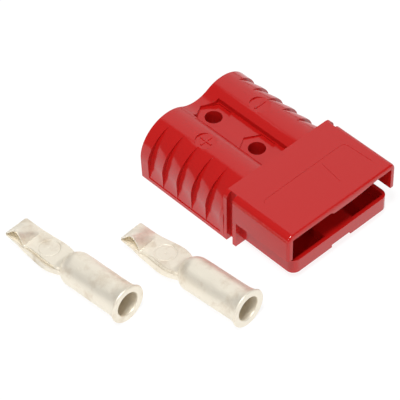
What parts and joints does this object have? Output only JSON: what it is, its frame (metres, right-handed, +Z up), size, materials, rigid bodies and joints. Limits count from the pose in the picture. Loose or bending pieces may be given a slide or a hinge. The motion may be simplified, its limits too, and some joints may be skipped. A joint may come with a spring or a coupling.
{
  "type": "genderless power connector",
  "caption": "Flat-wiping genderless power connector: moulded hood-and-tray housing with two wire barrels, leaf springs and loose crimp contacts.",
  "frame": {"origin": "on the base plane, midway between the two mounting holes", "axes": "+Z up from the base to the hood's top, -Y towards the mating face, +Y towards the wire end, the loose contacts lie at -X"},
  "size_m": [0.0923, 0.0718, 0.0191],
  "materials": {
    "housing_plastic": "semi-gloss moulded polycarbonate",
    "spring_steel": "rolled stainless strip",
    "silvered_copper": "satin silver plate over copper"
  },
  "bodies": {
    "root": {"housing": "housing_plastic", "leaf_spring_plus": "spring_steel", "leaf_spring_minus": "spring_steel", "contact_plus": "silvered_copper", "contact_minus": "silvered_copper"}
  },
  "joints": []
}
